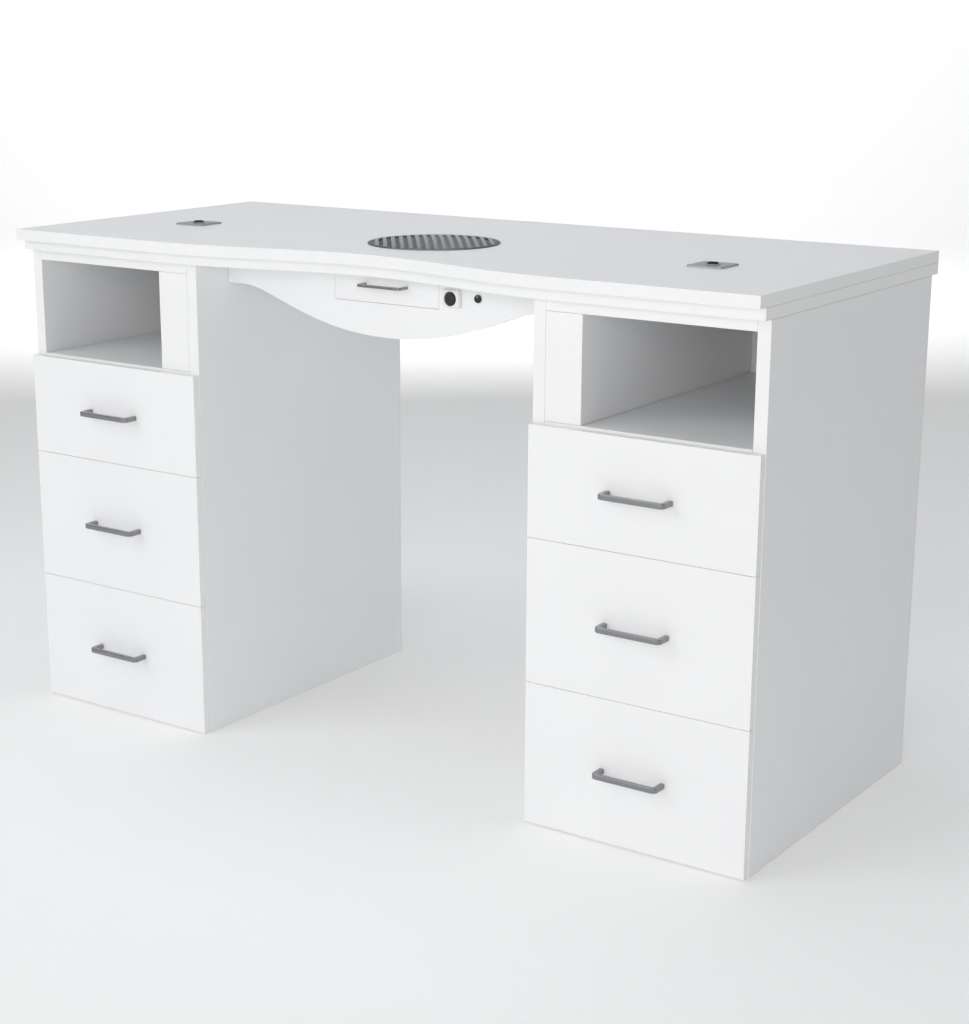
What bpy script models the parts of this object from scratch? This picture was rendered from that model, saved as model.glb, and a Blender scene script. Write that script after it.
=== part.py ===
"""A two-pedestal manicure table with a built-in dust collector.

Frame: metres, +Z up, +X to the technician's right, -Y towards the technician.
The origin is on the floor, under the middle of the table.
Each pedestal holds three drawers and an open cubby. Between the pedestals an apron
carries the dust collector: a round grille in the top, a pull-out filter tray, a fan.
"""

import math

import bmesh
import bpy
from mathutils import Matrix, Vector
from mathutils.geometry import interpolate_bezier

# Overall sizes
WIDTH = 1.250
HEIGHT = 0.750
TOP_FRONT = -0.270
TOP_BACK = 0.275
BOARD = 0.016
GAP = 0.0003  # between pieces that touch on the real table

# Carcass
SIDE = 0.018
PEDESTAL = 0.335
CARCASS_FRONT = TOP_FRONT + 2 * BOARD
CARCASS_BACK = TOP_BACK - 0.020
SLAB_UNDER = HEIGHT - BOARD
SUB_UNDER = SLAB_UNDER - BOARD
CARCASS_TOP = SUB_UNDER - GAP
OUTER_FACE = WIDTH / 2
INNER_FACE = OUTER_FACE - PEDESTAL
BAY_INNER = INNER_FACE + SIDE
BAY_OUTER = OUTER_FACE - SIDE
BACK_PANEL_FRONT = CARCASS_BACK - BOARD
SHELF_TOP = 0.558
BOTTOM_UNDER = 0.014
STILE_EDGE = INNER_FACE + 0.073  # where the cubby's opening starts

# The bow in the front of the top
BOW_HALF = 0.325
BOW_DEPTH = 0.051

# Drawers
FRONT_THICK = 0.012
FRONT_FACE = CARCASS_FRONT - FRONT_THICK
FRONT_INSET = 0.001  # of a drawer front from the pedestal's sides
DRAWERS = {  # front's bottom and top, box's bottom and top
    "bottom": (0.0020, 0.2028, 0.045, 0.185),
    "middle": (0.2033, 0.4028, 0.247, 0.387),
    "top": (0.4033, 0.5545, 0.425, 0.530),
}
BOX_WALL = 0.010
BOX_BACK = CARCASS_FRONT + 0.410
SLIDE_SPACE = 0.0127  # between a drawer box and the side panel, for the slide
RAIL_DEPTH = 0.0095
RAIL_HEIGHT = 0.042
RAIL_FRONT = CARCASS_FRONT + 0.002
RAIL_BACK = CARCASS_FRONT + 0.402
RAIL_SHEET = 0.0015

# Handles
HANDLE_CORNER = 0.001  # more than the bar, the outer corner's radius
DRAWER_HANDLE = {"length": 0.098, "bar": 0.007, "out": 0.025 - GAP}  # out from its foot
TRAY_HANDLE = {"length": 0.076, "bar": 0.0042, "out": 0.020}
TRAY_HANDLE_Z = 0.7012

# Apron
APRON_FACE = -0.1675
APRON_BACK = APRON_FACE + BOARD
APRON_END_Z = 0.684
APRON_LOW_Z = 0.628
SMILE_HALF = 0.260
SMILE_RUN = 0.140  # how far the curve's handles reach at its middle and at its ends
SMILE_END_RUN = 0.050

# Dust collector
VENT = Vector((0.0, -0.0525, 0.0))
VENT_RADIUS = 0.085
GRILLE_RADIUS = 0.095
GRILLE_CROWN = 0.004
GRILLE_SHEET = 0.0015
GRILLE_RIM = 0.001  # between the crown's edge and the vent's hole
GRILLE_RINGS = 6
SLOT_END = 0.003  # between a slot's end and the vent's hole
SLOTS = 14
SLOT_PITCH = 0.0117
SLOT_WIDE = 0.0062
SLOT_TURN = math.atan2(-0.79, 0.61)
NOTCH_HALF = 0.0905
NOTCH_FLOOR = 0.676
NOTCH_SLACK = 0.0004
TRAY_HALF = 0.0865
TRAY_TOP = 0.712
TRAY_UNDER_Z = 0.677
TRAY_BACK = 0.045
TRAY_SHEET = 0.002
TRAY_HOLE = 0.055
PAD_SLACK = 0.004
PAD_THICK = 0.015
BAY_HALF = 0.0880
BAY_WALL = 0.004
BAY_FLOOR = 0.6765
BAY_BACK = TRAY_BACK + 0.003
CAN_RADIUS = 0.062
DUCT_RADIUS = 0.058
CAN_UNDER = 0.632
CAN_FLOOR = 0.636
EXHAUST_HOLES = 8
EXHAUST_RING = 0.038
EXHAUST_RADIUS = 0.012
FAN_RADIUS = 0.054
FAN_BLADES = 7
HUB_RADIUS = 0.020
HUB_HEIGHT = 0.020
BLADE_ROOT = 0.017  # inside the hub, so that the blade joins it
BLADE_CHORD = 0.024
BLADE_THICK = 0.002
BLADE_PITCH = math.radians(33)

# Controls on the apron
SWITCH = Vector((0.1145, APRON_FACE, 0.6934))
SWITCH_BLOCK = Vector((0.028, 0.008, 0.024))
SWITCH_BORE = 0.0096
SWITCH_POCKET = 0.0035  # how far behind the pivot the bore reaches
PIVOT_IN = 0.003  # behind the block's face
ROCKER_RADIUS = 0.0088
ROCKER_DEEP = 0.008  # before its two faces are cut
ROCKER_BACK = 0.002  # from the pivot to the rocker's back
ROCKER_RIDGE = 0.005  # from the pivot out to the ridge between the rocker's two faces
ROCKER_TILT = math.radians(7)
KNOB = Vector((0.1557, APRON_FACE, 0.6958))
KNOB_RADIUS = 0.0056
KNOB_CAP = 0.0046
KNOB_LONG = 0.0030

# Lamp sockets in the top
LAMP_X = 0.448
LAMP_Y = -0.0545
LAMP_PLATE = 0.052
LAMP_PLATE_THICK = 0.002
LAMP_COLLAR = 0.010
LAMP_COLLAR_HIGH = 0.0008
LAMP_BORE = 0.00625
LAMP_SLEEVE = 0.008
LAMP_SLEEVE_DEEP = 0.031
LAMP_HOLE = 0.0085

# Mains inlet on the back of the collector's housing
INLET = Vector((0.060, BAY_BACK + BAY_WALL, 0.696))
INLET_SIZE = Vector((0.030, 0.016, 0.024))
INLET_POCKET = Vector((0.022, 0.013, 0.014))

PAST = 0.010  # how far a cutter runs past what it cuts

SIDES = {"left": -1, "right": 1}


def clear_scene():
    for obj in list(bpy.data.objects):
        bpy.data.objects.remove(obj)


def collection(name, hidden=False):
    made = bpy.data.collections.new(name)
    bpy.context.scene.collection.children.link(made)
    made.hide_render = hidden
    return made


def finish_of(name, colour, roughness, metallic=0.0):
    """A plain painted, moulded or plated finish."""
    material = bpy.data.materials.new(name)
    material.use_nodes = True
    shader = material.node_tree.nodes["Principled BSDF"]
    shader.inputs["Base Color"].default_value = (*colour, 1.0)
    shader.inputs["Roughness"].default_value = roughness
    shader.inputs["Metallic"].default_value = metallic
    return material


clear_scene()
PARTS = collection("manicure_table")
CUTTERS = collection("cutters", hidden=True)
LAMINATE = finish_of("white_laminate", (0.86, 0.87, 0.88), 0.45)
CHROME = finish_of("dark_chrome", (0.42, 0.42, 0.43), 0.15, 1.0)
STEEL = finish_of("brushed_grille", (0.45, 0.45, 0.46), 0.35, 1.0)
ZINC = finish_of("zinc_runner", (0.60, 0.61, 0.62), 0.35, 1.0)
WHITE_ABS = finish_of("white_moulding", (0.84, 0.85, 0.85), 0.40)
BLACK_ABS = finish_of("black_moulding", (0.02, 0.02, 0.02), 0.35)
FOAM = finish_of("filter_foam", (0.06, 0.06, 0.065), 0.95)


def piece(name, mesh, finish, where=(0, 0, 0), parent=None):
    """A sub-part of the table, whose mesh is drawn round the point where."""
    obj = bpy.data.objects.new(name, mesh)
    mesh.materials.clear()
    mesh.materials.append(finish)
    PARTS.objects.link(obj)
    obj.location = Vector(where)
    if parent:
        obj.parent = parent
        obj.location = Vector(where) - parent.location
    return obj


def group(name, where):
    """An empty on a joint's axis, which carries the pieces that move together."""
    empty = bpy.data.objects.new(name, None)
    PARTS.objects.link(empty)
    empty.location = Vector(where)
    return empty


def box_mesh(name, size, missing=()):
    """A cuboid round the origin, without the faces that point along the missing directions."""
    bm = bmesh.new()
    bmesh.ops.create_cube(bm, size=1.0, matrix=Matrix.Diagonal((*size, 1.0)))
    for direction in missing:
        away = [f for f in bm.faces if f.normal.dot(Vector(direction)) > 0.9]
        bmesh.ops.delete(bm, geom=away, context="FACES")
    mesh = bpy.data.meshes.new(name)
    bm.to_mesh(mesh)
    bm.free()
    return mesh


def box(name, low, high, finish, parent=None, missing=()):
    """A cuboid between two corners."""
    low, high = Vector(low), Vector(high)
    low, high = Vector(map(min, low, high)), Vector(map(max, low, high))
    mesh = box_mesh(name, high - low, missing)
    return piece(name, mesh, finish, (low + high) / 2, parent)


def turned_mesh(name, profile, steps):
    """A profile of (radius, height) points turned about Z, from its top down the outside."""
    bm = bmesh.new()
    points = [bm.verts.new((radius, 0, height)) for radius, height in profile]
    for a, b in zip(points, points[1:]):
        bm.edges.new((a, b))
    mesh = bpy.data.meshes.new(name)
    bm.to_mesh(mesh)
    bm.free()
    helper = bpy.data.objects.new(name + "_turning", mesh)
    CUTTERS.objects.link(helper)
    screw = helper.modifiers.new("turn", "SCREW")
    screw.steps = screw.render_steps = steps
    screw.use_merge_vertices = True
    screw.merge_threshold = 0.00005
    return applied(helper, name)


def applied(helper, name):
    """The helper's evaluated mesh, once its modifiers or its curve are made real."""
    bpy.context.view_layer.update()
    graph = bpy.context.evaluated_depsgraph_get()
    mesh = bpy.data.meshes.new_from_object(helper.evaluated_get(graph))
    mesh.name = name
    bm = bmesh.new()
    bm.from_mesh(mesh)
    bmesh.ops.remove_doubles(bm, verts=bm.verts, dist=0.00002)
    bmesh.ops.recalc_face_normals(bm, faces=bm.faces)
    bm.to_mesh(mesh)
    bm.free()
    bpy.data.objects.remove(helper)
    return mesh


def level_curve(start, end, start_run, end_run, steps=15):
    """Points from start to end along a curve that leaves the one and meets the other level."""
    start, end = Vector(start), Vector(end)
    way = math.copysign(1, end.x - start.x)
    leaving = start + Vector((way * start_run, 0))
    meeting = end - Vector((way * end_run, 0))
    return [tuple(p) for p in interpolate_bezier(start, leaving, meeting, end, steps)]


def outline_mesh(name, points, thick):
    """A closed outline of (x, y) points, filled and given a thickness about Z."""
    curve = bpy.data.curves.new(name, "CURVE")
    curve.dimensions = "2D"
    curve.fill_mode = "BOTH"
    curve.extrude = thick / 2
    spline = curve.splines.new("POLY")
    spline.points.add(len(points) - 1)
    spline.use_cyclic_u = True
    for knot, (x, y) in zip(spline.points, points):
        knot.co = (x, y, 0, 1)
    helper = bpy.data.objects.new(name + "_outline", curve)
    CUTTERS.objects.link(helper)
    return applied(helper, name)


def cutter(name, mesh, where=(0, 0, 0)):
    obj = bpy.data.objects.new(name, mesh)
    CUTTERS.objects.link(obj)
    obj.location = Vector(where)
    obj.hide_render = True
    obj.display_type = "WIRE"
    return obj


def box_cutter(name, low, high):
    low, high = Vector(low), Vector(high)
    return cutter(name, box_mesh(name, high - low), (low + high) / 2)


def round_cutter(name, radius, centre, low, high, sides=32):
    mesh = cylinder_mesh(name, radius, high - low, sides)
    return cutter(name, mesh, (centre[0], centre[1], (low + high) / 2))


def cylinder_mesh(name, radius, height, sides=32):
    bm = bmesh.new()
    bmesh.ops.create_cone(
        bm, cap_ends=True, segments=sides, radius1=radius, radius2=radius, depth=height
    )
    mesh = bpy.data.meshes.new(name)
    bm.to_mesh(mesh)
    bm.free()
    return mesh


def boolean(obj, other, operation="DIFFERENCE"):
    modifier = obj.modifiers.new(other.name, "BOOLEAN")
    modifier.operation = operation
    modifier.object = other


def smooth(obj, degrees=35):
    obj.data.shade_smooth()
    obj.data.set_sharp_from_angle(angle=math.radians(degrees))


def shell(obj, wall):
    """Walls of one thickness, inwards from an open surface."""
    modifier = obj.modifiers.new("wall", "SOLIDIFY")
    modifier.thickness = wall
    modifier.offset = -1
    modifier.use_even_offset = True


def bowed_board(name, front, low, high):
    """A full-width board whose front edge bows in between the pedestals."""
    third = BOW_HALF / 3
    middle = (0.0, front + BOW_DEPTH)
    into = level_curve((-BOW_HALF, front), middle, third, third)
    out = level_curve(middle, (BOW_HALF, front), third, third)
    corners = [(OUTER_FACE, front), (OUTER_FACE, TOP_BACK), (-OUTER_FACE, TOP_BACK)]
    outline = [(-OUTER_FACE, front)] + into + out[1:] + corners
    mesh = outline_mesh(name, outline, high - low)
    return piece(name, mesh, LAMINATE, (0, 0, (low + high) / 2))


def tops():
    """The slab and the board below it, stepped back, with holes for the vent and the lamp sockets."""
    slab = bowed_board("tabletop", TOP_FRONT, SLAB_UNDER, HEIGHT)
    sub = bowed_board("sub_top", TOP_FRONT + BOARD, SUB_UNDER, SLAB_UNDER - GAP)
    below, above = SUB_UNDER - BOARD, HEIGHT + BOARD
    holes = [round_cutter("vent_hole", VENT_RADIUS, VENT, below, above, 48)]
    for side, sign in SIDES.items():
        holes.append(
            round_cutter("lamp_hole_" + side, LAMP_HOLE, (sign * LAMP_X, LAMP_Y), below, above, 24)
        )
    for board in (slab, sub):
        for hole in holes:
            boolean(board, hole)


def lamp_socket(side, sign):
    """A square plate on the top, with a collar and a sleeve for a lamp's pin."""
    centre = Vector((sign * LAMP_X, LAMP_Y, HEIGHT + GAP))
    half = LAMP_PLATE / 2
    socket = box(
        "lamp_socket_" + side,
        centre - Vector((half, half, 0)),
        centre + Vector((half, half, LAMP_PLATE_THICK)),
        CHROME,
    )
    collar_top = LAMP_PLATE_THICK + LAMP_COLLAR_HIGH
    within_plate = LAMP_PLATE_THICK / 2
    post = [
        (0, collar_top),
        (LAMP_COLLAR, collar_top),
        (LAMP_COLLAR + GAP, within_plate),
        (LAMP_SLEEVE, within_plate),
        (LAMP_SLEEVE, -LAMP_SLEEVE_DEEP),
        (0, -LAMP_SLEEVE_DEEP),
    ]
    boolean(socket, cutter("lamp_post_" + side, turned_mesh("lamp_post", post, 24), centre), "UNION")
    boolean(
        socket,
        round_cutter(
            "lamp_bore_" + side,
            LAMP_BORE,
            centre,
            HEIGHT - LAMP_SLEEVE_DEEP - PAST,
            HEIGHT + collar_top + PAST,
            24,
        ),
    )


def pedestal(side, sign):
    """One pedestal's boards, of which the left pedestal's are a mirror of the right's."""

    def board(name, x, y, z):
        corners = [(sign * x[i], y[i], z[i]) for i in (0, 1)]
        return box(f"{name}_{side}", *corners, LAMINATE)

    depth = (CARCASS_FRONT, CARCASS_BACK)
    within = (BAY_INNER + GAP, BAY_OUTER - GAP)
    inside = (CARCASS_FRONT, BACK_PANEL_FRONT - GAP)
    board("side_outer", (BAY_OUTER, OUTER_FACE), depth, (0, CARCASS_TOP))
    board("side_inner", (INNER_FACE, BAY_INNER), depth, (0, CARCASS_TOP))
    board("back_panel", within, (BACK_PANEL_FRONT, CARCASS_BACK), (BOTTOM_UNDER, CARCASS_TOP))
    board("top_panel", within, inside, (SUB_UNDER - BOARD, CARCASS_TOP))
    board("cubby_shelf", within, inside, (SHELF_TOP - BOARD, SHELF_TOP))
    board("bottom_panel", within, inside, (BOTTOM_UNDER, BOTTOM_UNDER + BOARD))
    cubby_partition(side, sign)


def cubby_partition(side, sign):
    """The cubby's inner wall, with the front stile that closes the space beside it."""
    start, wall = BAY_INNER + GAP, STILE_EDGE - SIDE
    behind = CARCASS_FRONT + SIDE
    back = BACK_PANEL_FRONT - GAP
    low, high = SHELF_TOP + GAP, SUB_UNDER - BOARD - GAP
    outline = [
        (start, CARCASS_FRONT),
        (STILE_EDGE, CARCASS_FRONT),
        (STILE_EDGE, back),
        (wall, back),
        (wall, behind),
        (start, behind),
    ]
    points = [(sign * x, y) for x, y in outline]
    mesh = outline_mesh("cubby_partition", points, high - low)
    piece("cubby_partition_" + side, mesh, LAMINATE, (0, 0, (low + high) / 2))


def handle_outline(length, bar, out):
    """A bow handle seen from above: feet at y = 0, the grip out along -Y, round outer corners."""
    half, corner = length / 2, bar + HANDLE_CORNER
    turns = [math.radians(a) for a in range(0, 91, 18)]
    outer = [
        (half - corner + corner * math.cos(t), -out + corner - corner * math.sin(t)) for t in turns
    ]
    inside, small = half - bar, HANDLE_CORNER
    grip_back = -out + bar
    inner = [
        (inside - small + small * math.cos(t), grip_back + small - small * math.sin(t))
        for t in turns
    ]
    outside = [(half, 0)] + outer
    within = [(inside, 0)] + inner
    mirrored = [[(-x, y) for x, y in side] for side in (outside, within)]
    return outside + mirrored[0][::-1] + mirrored[1] + within[::-1]


def handle(name, sizes, centre, parent):
    mesh = outline_mesh(name, handle_outline(**sizes), sizes["bar"])
    return piece(name, mesh, CHROME, Vector(centre) - Vector((0, GAP, 0)), parent)


def drawer(side, sign, level, front_low, front_high, box_low, box_high):
    """A drawer with its front and handle, and the pair of rails that it runs on."""
    middle = sign * (INNER_FACE + OUTER_FACE) / 2
    name = f"{side}_{level}"
    height = (front_low + front_high) / 2
    slide = group("drawer_" + name, (middle, FRONT_FACE, height))
    half = PEDESTAL / 2 - FRONT_INSET
    box(
        "drawer_front_" + name,
        (middle - half, FRONT_FACE, front_low),
        (middle + half, CARCASS_FRONT - GAP, front_high),
        LAMINATE,
        slide,
    )
    half = (BAY_OUTER - BAY_INNER) / 2 - SLIDE_SPACE
    tub = box(
        "drawer_box_" + name,
        (middle - half, CARCASS_FRONT, box_low),
        (middle + half, BOX_BACK, box_high),
        LAMINATE,
        slide,
        missing=[(0, 0, 1)],
    )
    shell(tub, BOX_WALL)
    handle("handle_" + name, DRAWER_HANDLE, (middle, FRONT_FACE, height), slide)
    rail_middle = (box_low + box_high) / 2
    for where, panel, towards in (("inner", BAY_INNER, 1), ("outer", BAY_OUTER, -1)):
        rail = box(
            f"rail_{name}_{where}",
            (sign * (panel + towards * GAP), RAIL_FRONT, rail_middle - RAIL_HEIGHT / 2),
            (sign * (panel + towards * RAIL_DEPTH), RAIL_BACK, rail_middle + RAIL_HEIGHT / 2),
            ZINC,
            missing=[(sign * towards, 0, 0), (0, 1, 0), (0, -1, 0)],
        )
        shell(rail, RAIL_SHEET)


def apron():
    """The board between the pedestals: a smile along its lower edge, a notch for the filter tray."""
    end = INNER_FACE - GAP
    lowest = (0, APRON_LOW_Z)
    left = level_curve((-SMILE_HALF, APRON_END_Z), lowest, SMILE_END_RUN, SMILE_RUN)
    right = level_curve(lowest, (SMILE_HALF, APRON_END_Z), SMILE_RUN, SMILE_END_RUN)
    notch = [
        (NOTCH_HALF, CARCASS_TOP),
        (NOTCH_HALF, NOTCH_FLOOR),
        (-NOTCH_HALF, NOTCH_FLOOR),
        (-NOTCH_HALF, CARCASS_TOP),
    ]
    lower = [(-end, APRON_END_Z)] + left + right[1:] + [(end, APRON_END_Z)]
    points = [(-end, CARCASS_TOP)] + lower + [(end, CARCASS_TOP)] + notch
    mesh = outline_mesh("apron_panel", points, BOARD)
    mesh.transform(Matrix.Rotation(math.pi / 2, 4, "X"))
    piece("apron_panel", mesh, LAMINATE, (0, (APRON_FACE + APRON_BACK) / 2, 0))


def vent_grille():
    """A lightly crowned steel disc on the top, with parallel slots across it."""
    low = HEIGHT + GAP
    crown_radius = VENT_RADIUS - GRILLE_RIM
    shares = [i / GRILLE_RINGS for i in range(GRILLE_RINGS + 1)]
    rise = [(crown_radius * share, GRILLE_CROWN * (1 - share**2)) for share in shares]
    upper = [(radius, up + GRILLE_SHEET) for radius, up in rise]
    profile = upper + [(GRILLE_RADIUS, GRILLE_SHEET), (GRILLE_RADIUS, 0)] + rise[::-1]
    at = VENT + Vector((0, 0, low))
    grille = piece("vent_grille", turned_mesh("vent_grille", profile, 48), STEEL, at)
    bm = bmesh.new()
    turn = Matrix.Rotation(SLOT_TURN, 4, "Z")
    for i in range(SLOTS):
        across = (i - (SLOTS - 1) / 2) * SLOT_PITCH
        length = 2 * math.sqrt((VENT_RADIUS - SLOT_END) ** 2 - across**2)
        size = Matrix.Diagonal((length, SLOT_WIDE, 2 * PAST, 1))
        bmesh.ops.create_cube(bm, size=1.0, matrix=turn @ Matrix.Translation((0, across, 0)) @ size)
    mesh = bpy.data.meshes.new("grille_slots")
    bm.to_mesh(mesh)
    bm.free()
    boolean(grille, cutter("grille_slots", mesh, at))


def collector_housing():
    """The tray's bay under the top, with the fan's round can below it."""
    front = APRON_BACK + GAP
    half = BAY_HALF + BAY_WALL
    housing = box(
        "collector_housing",
        (-half, front, BAY_FLOOR - BAY_WALL),
        (half, BAY_BACK + BAY_WALL, CARCASS_TOP),
        WHITE_ABS,
    )
    boolean(
        housing,
        round_cutter("fan_can", CAN_RADIUS, VENT, CAN_UNDER, BAY_FLOOR - BAY_WALL / 2, 40),
        "UNION",
    )
    bay = box_cutter("tray_bay", (-BAY_HALF, front - PAST, BAY_FLOOR), (BAY_HALF, BAY_BACK, HEIGHT))
    boolean(housing, bay)
    duct = round_cutter("fan_duct", DUCT_RADIUS, VENT, CAN_FLOOR, BAY_FLOOR + PAST, 40)
    boolean(housing, duct)
    low, high = CAN_UNDER - PAST, CAN_FLOOR + PAST
    for i in range(EXHAUST_HOLES):
        turn = 2 * math.pi * i / EXHAUST_HOLES
        at = VENT + EXHAUST_RING * Vector((math.cos(turn), math.sin(turn), 0))
        boolean(housing, round_cutter(f"exhaust_{i}", EXHAUST_RADIUS, at, low, high, 16))


def fan():
    """The impeller: a hub and pitched blades, on the fan's upright axis."""
    middle = (CAN_FLOOR + BAY_FLOOR) / 2
    axis = group("fan", VENT + Vector((0, 0, middle)))
    hub = cylinder_mesh("hub", HUB_RADIUS, HUB_HEIGHT, 32)
    impeller = piece("fan_impeller", hub, BLACK_ABS, axis.location, axis)
    blade = Vector((FAN_RADIUS - BLADE_ROOT, BLADE_CHORD, BLADE_THICK))
    for i in range(FAN_BLADES):
        turn = Matrix.Rotation(2 * math.pi * i / FAN_BLADES, 4, "Z")
        out = Matrix.Translation((FAN_RADIUS - blade.x / 2, 0, 0))
        pitch = Matrix.Rotation(BLADE_PITCH, 4, "X")
        mesh = box_mesh("blade", blade)
        mesh.transform(turn @ out @ pitch)
        boolean(impeller, cutter(f"blade_{i}", mesh, axis.location), "UNION")


def filter_tray():
    """The pull-out tray under the grille: front, handle, tray with an open floor, filter pad."""
    slide = group("filter_tray", (0, APRON_FACE, (TRAY_UNDER_Z + TRAY_TOP) / 2))
    half = NOTCH_HALF - NOTCH_SLACK
    low, high = NOTCH_FLOOR + NOTCH_SLACK, CARCASS_TOP - NOTCH_SLACK
    box("tray_front", (-half, APRON_FACE, low), (half, APRON_BACK, high), LAMINATE, slide)
    tray = box(
        "tray_box",
        (-TRAY_HALF, APRON_BACK + GAP, TRAY_UNDER_Z),
        (TRAY_HALF, TRAY_BACK, TRAY_TOP),
        ZINC,
        slide,
        missing=[(0, 0, 1)],
    )
    shell(tray, TRAY_SHEET)
    low, high = TRAY_UNDER_Z - PAST, TRAY_UNDER_Z + PAST
    boolean(tray, round_cutter("tray_hole", TRAY_HOLE, VENT, low, high, 40))
    floor = TRAY_UNDER_Z + TRAY_SHEET + GAP
    box(
        "filter_pad",
        (-TRAY_HALF + PAD_SLACK, APRON_BACK + GAP + PAD_SLACK, floor),
        (TRAY_HALF - PAD_SLACK, TRAY_BACK - PAD_SLACK, floor + PAD_THICK),
        FOAM,
        slide,
    )
    handle("tray_handle", TRAY_HANDLE, (0, APRON_FACE, TRAY_HANDLE_Z), slide)


def switch():
    """A round rocker switch in a block on the apron, tilted to off."""
    low = SWITCH - Vector((SWITCH_BLOCK.x / 2, SWITCH_BLOCK.y, SWITCH_BLOCK.z / 2))
    high = SWITCH + Vector((SWITCH_BLOCK.x / 2, -GAP, SWITCH_BLOCK.z / 2))
    block = box("switch_block", low, high, WHITE_ABS)
    pivot = SWITCH + Vector((0, -SWITCH_BLOCK.y + PIVOT_IN, 0))
    bore_long = 3 * PAST
    bore = cylinder_mesh("switch_bore", SWITCH_BORE, bore_long, 32)
    bore.transform(Matrix.Rotation(math.pi / 2, 4, "X"))
    boolean(block, cutter("switch_bore", bore, pivot + Vector((0, SWITCH_POCKET - bore_long / 2, 0))))

    bm = bmesh.new()
    centred = Matrix.Translation((0, ROCKER_BACK - ROCKER_DEEP / 2, 0))
    bmesh.ops.create_cone(
        bm,
        cap_ends=True,
        segments=32,
        radius1=ROCKER_RADIUS,
        radius2=ROCKER_RADIUS,
        depth=ROCKER_DEEP,
        matrix=centred @ Matrix.Rotation(math.pi / 2, 4, "X"),
    )
    for way in (-1, 1):
        facing = Vector((way * math.sin(ROCKER_TILT), -math.cos(ROCKER_TILT), 0))
        geometry = bm.verts[:] + bm.edges[:] + bm.faces[:]
        bmesh.ops.bisect_plane(
            bm, geom=geometry, plane_co=(0, -ROCKER_RIDGE, 0), plane_no=facing, clear_outer=True
        )
        bmesh.ops.holes_fill(bm, edges=bm.edges)
    bmesh.ops.recalc_face_normals(bm, faces=bm.faces)
    mesh = bpy.data.meshes.new("switch_rocker")
    bm.to_mesh(mesh)
    bm.free()
    rocker = piece("switch_rocker", mesh, BLACK_ABS, pivot)
    rocker.rotation_euler.z = -ROCKER_TILT


def speed_knob():
    """A small knob on the apron that turns the fan's speed up, on an axis along Y."""
    shoulder = (KNOB_CAP + KNOB_RADIUS) / 2
    profile = [
        (0, KNOB_LONG),
        (KNOB_CAP, KNOB_LONG),
        (shoulder, KNOB_LONG - shoulder + KNOB_CAP),
        (KNOB_RADIUS, GAP),
        (0, GAP),
    ]
    knob = piece("speed_knob", turned_mesh("speed_knob", profile, 24), BLACK_ABS, KNOB)
    knob.rotation_euler.x = math.pi / 2


def power_inlet():
    """The mains inlet on the back of the collector's housing, a pocket that faces the back."""
    across, up = Vector((INLET_SIZE.x / 2, 0, 0)), Vector((0, 0, INLET_SIZE.z / 2))
    low = INLET - across - up + Vector((0, GAP, 0))
    inlet = box("power_inlet", low, INLET + across + up + Vector((0, INLET_SIZE.y, 0)), BLACK_ABS)
    across, up = Vector((INLET_POCKET.x / 2, 0, 0)), Vector((0, 0, INLET_POCKET.z / 2))
    mouth = Vector((0, INLET_SIZE.y, 0))
    low = INLET - across - up + mouth - Vector((0, INLET_POCKET.y, 0))
    pocket = box_cutter("inlet_pocket", low, INLET + across + up + mouth + Vector((0, PAST, 0)))
    boolean(inlet, pocket)


tops()
for side, sign in SIDES.items():
    pedestal(side, sign)
    lamp_socket(side, sign)
    for level, sizes in DRAWERS.items():
        drawer(side, sign, level, *sizes)
apron()
vent_grille()
collector_housing()
fan()
filter_tray()
switch()
speed_knob()
power_inlet()
for name in ("vent_grille", "fan_impeller", "switch_rocker", "speed_knob"):
    smooth(bpy.data.objects[name])
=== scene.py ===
# %% [markdown]
# # Finishing a manicure table
#
# The table's solids are already sized and placed. This lesson gives them the surface of
# the real thing: laminated boards with banded edges, plated handles, a pressed steel
# grille, drawer slides with their balls, a fan behind its guard.
# Lengths are in metres. +Z is up, and the technician sits on the -Y side.
#
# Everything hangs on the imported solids, so they are loaded first and measured.

import math

import bmesh
import bpy
from mathutils import Matrix, Vector, noise


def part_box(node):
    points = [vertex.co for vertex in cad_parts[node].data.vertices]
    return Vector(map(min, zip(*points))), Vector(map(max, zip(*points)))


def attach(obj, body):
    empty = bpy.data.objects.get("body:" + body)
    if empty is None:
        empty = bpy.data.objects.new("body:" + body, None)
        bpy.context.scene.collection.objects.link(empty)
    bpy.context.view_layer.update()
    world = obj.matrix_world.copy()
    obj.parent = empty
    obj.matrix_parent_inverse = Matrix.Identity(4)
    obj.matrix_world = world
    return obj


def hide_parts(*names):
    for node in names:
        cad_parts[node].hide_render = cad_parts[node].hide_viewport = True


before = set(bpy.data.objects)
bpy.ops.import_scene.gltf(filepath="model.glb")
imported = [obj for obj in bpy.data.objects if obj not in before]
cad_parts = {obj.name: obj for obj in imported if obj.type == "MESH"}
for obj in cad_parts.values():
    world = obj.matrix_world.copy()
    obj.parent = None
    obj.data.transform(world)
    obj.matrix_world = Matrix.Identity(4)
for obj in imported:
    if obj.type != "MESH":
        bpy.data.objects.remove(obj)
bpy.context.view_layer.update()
MM = 0.001
SIDES = {"left": -1, "right": 1}
LEVELS = ("top", "middle", "bottom")
DRAWERS = [f"{side}_{level}" for side in SIDES for level in LEVELS]

# %% [markdown]
# ## Camera
#
# A catalogue view of furniture is taken from a few metres away with a long lens, so that
# upright boards stay nearly parallel. A small lens shift frames the table without
# turning the camera, which keeps the verticals as they are.

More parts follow.
